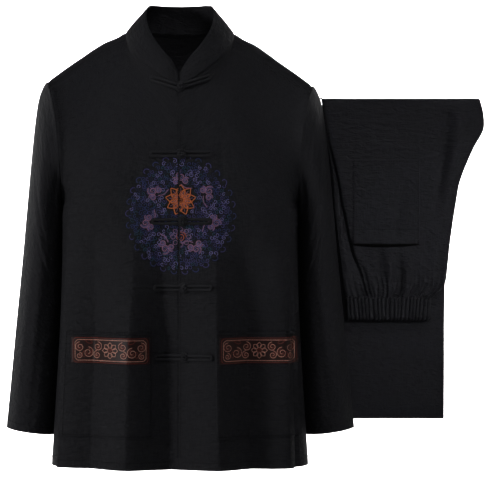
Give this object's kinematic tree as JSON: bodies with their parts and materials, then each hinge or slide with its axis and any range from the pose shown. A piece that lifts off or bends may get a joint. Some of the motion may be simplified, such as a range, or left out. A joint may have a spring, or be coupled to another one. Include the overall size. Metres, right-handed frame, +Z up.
{
  "type": "tai chi uniform, jacket and trousers set",
  "caption": "Black long-sleeved tai chi jacket with stand collar, frog fastenings, round chest embroidery and patch pockets, filled out, with its trousers folded beside it",
  "frame": {"origin": "middle of the shoulders at the height of the side of the neck, where a wearer carries the jacket", "axes": "+Z up; the front of the jacket faces -Y; +X is the wearer's left, the side where the folded trousers are"},
  "size_m": [0.8126, 0.2955, 0.7721],
  "materials": {
    "jacket_cloth": "crinkled linen-like weave, soft sheen",
    "pocket_cloth": "crinkled linen-like weave with an embroidered band at the top",
    "frog_cord": "cloth-covered cord, satin",
    "trouser_cloth": "crinkled linen-like weave, soft sheen",
    "waistband_cloth": "gathered over elastic, matt"
  },
  "bodies": {
    "root": {"back": "jacket_cloth", "collar": "jacket_cloth", "frog_chest_knot": "frog_cord", "frog_chest_loop": "frog_cord", "frog_chest_stud": "frog_cord", "frog_middle_knot": "frog_cord", "frog_middle_loop": "frog_cord", "frog_middle_stud": "frog_cord", "frog_neck_knot": "frog_cord", "frog_neck_loop": "frog_cord", "frog_neck_stud": "frog_cord", "frog_skirt_knot": "frog_cord", "frog_skirt_loop": "frog_cord", "frog_skirt_stud": "frog_cord", "frog_waist_knot": "frog_cord", "frog_waist_loop": "frog_cord", "frog_waist_stud": "frog_cord", "front_left": "jacket_cloth", "front_right": "jacket_cloth", "pocket_left": "pocket_cloth", "pocket_right": "pocket_cloth", "sleeve_left": "jacket_cloth", "sleeve_right": "jacket_cloth", "trousers_back_pocket": "trouser_cloth", "trousers_leg_layers": "trouser_cloth", "trousers_outer_panel": "trouser_cloth", "trousers_seat_layers": "trouser_cloth", "trousers_waistband": "waistband_cloth"}
  },
  "joints": []
}
